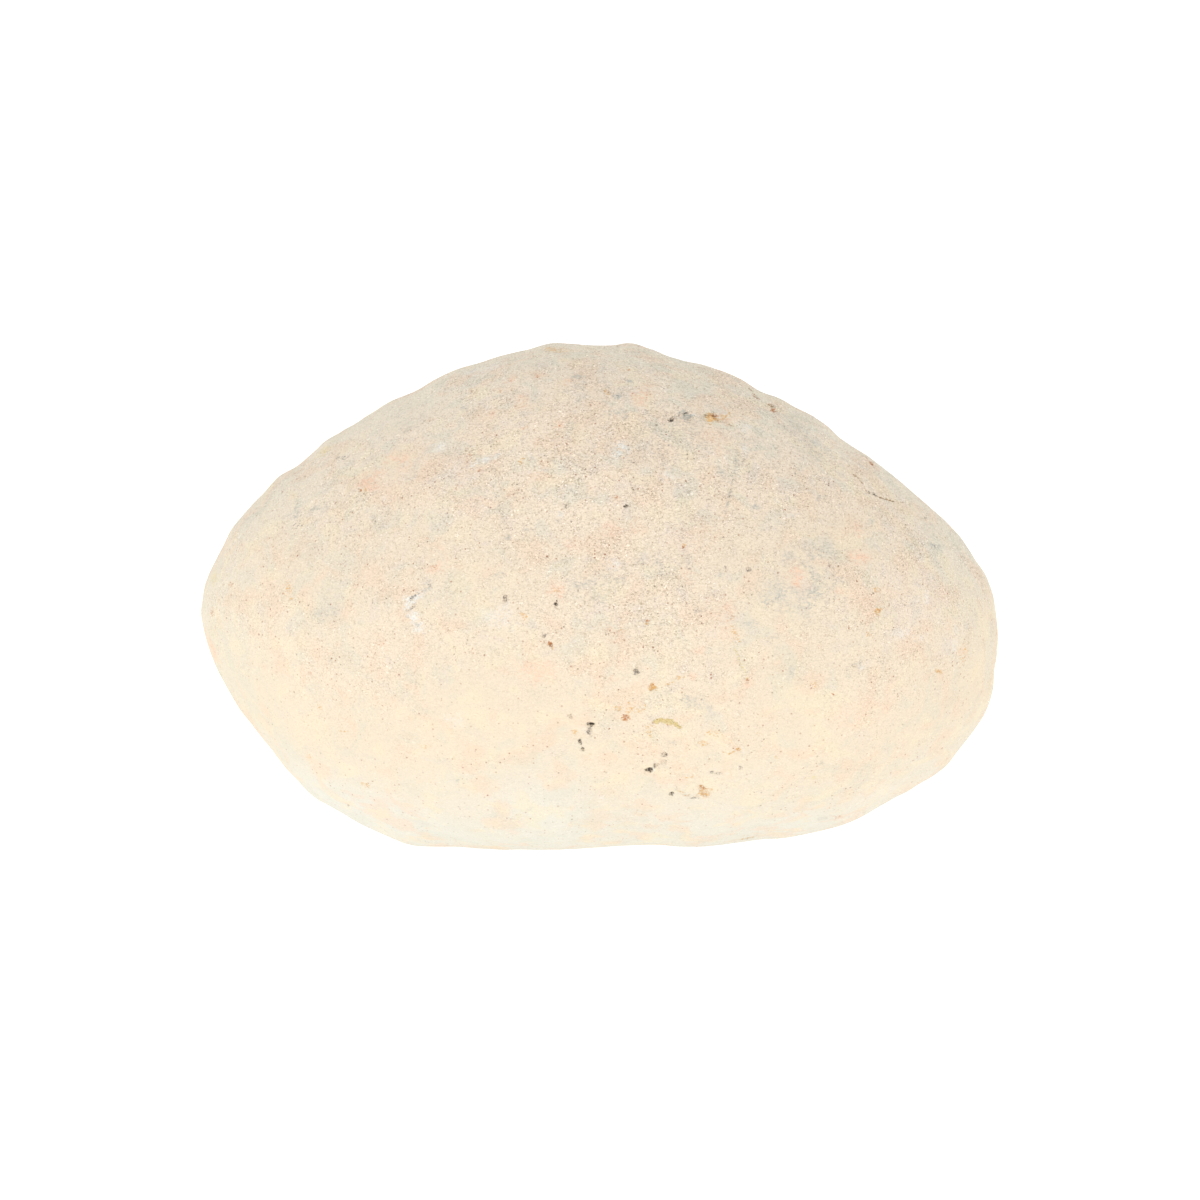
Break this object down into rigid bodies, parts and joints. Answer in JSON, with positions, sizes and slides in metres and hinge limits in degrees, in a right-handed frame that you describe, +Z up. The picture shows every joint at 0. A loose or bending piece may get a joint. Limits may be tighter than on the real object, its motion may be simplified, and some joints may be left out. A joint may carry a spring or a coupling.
{
  "type": "agate geode",
  "caption": "Whole, unopened agate geode: a smooth, egg-like stone nodule with small pits and chips in a pale crust, standing on a small worn flat.",
  "frame": {"origin": "middle of the stone's box in X and Y, on the plane it rests on", "axes": "+X along the stone towards its blunt end, +Y from the front to the back, +Z up"},
  "size_m": [0.1198, 0.0848, 0.0747],
  "materials": {
    "crust": "dry, matt, fine-grained weathered crust"
  },
  "bodies": {
    "root": {"geode": "crust"}
  },
  "joints": []
}
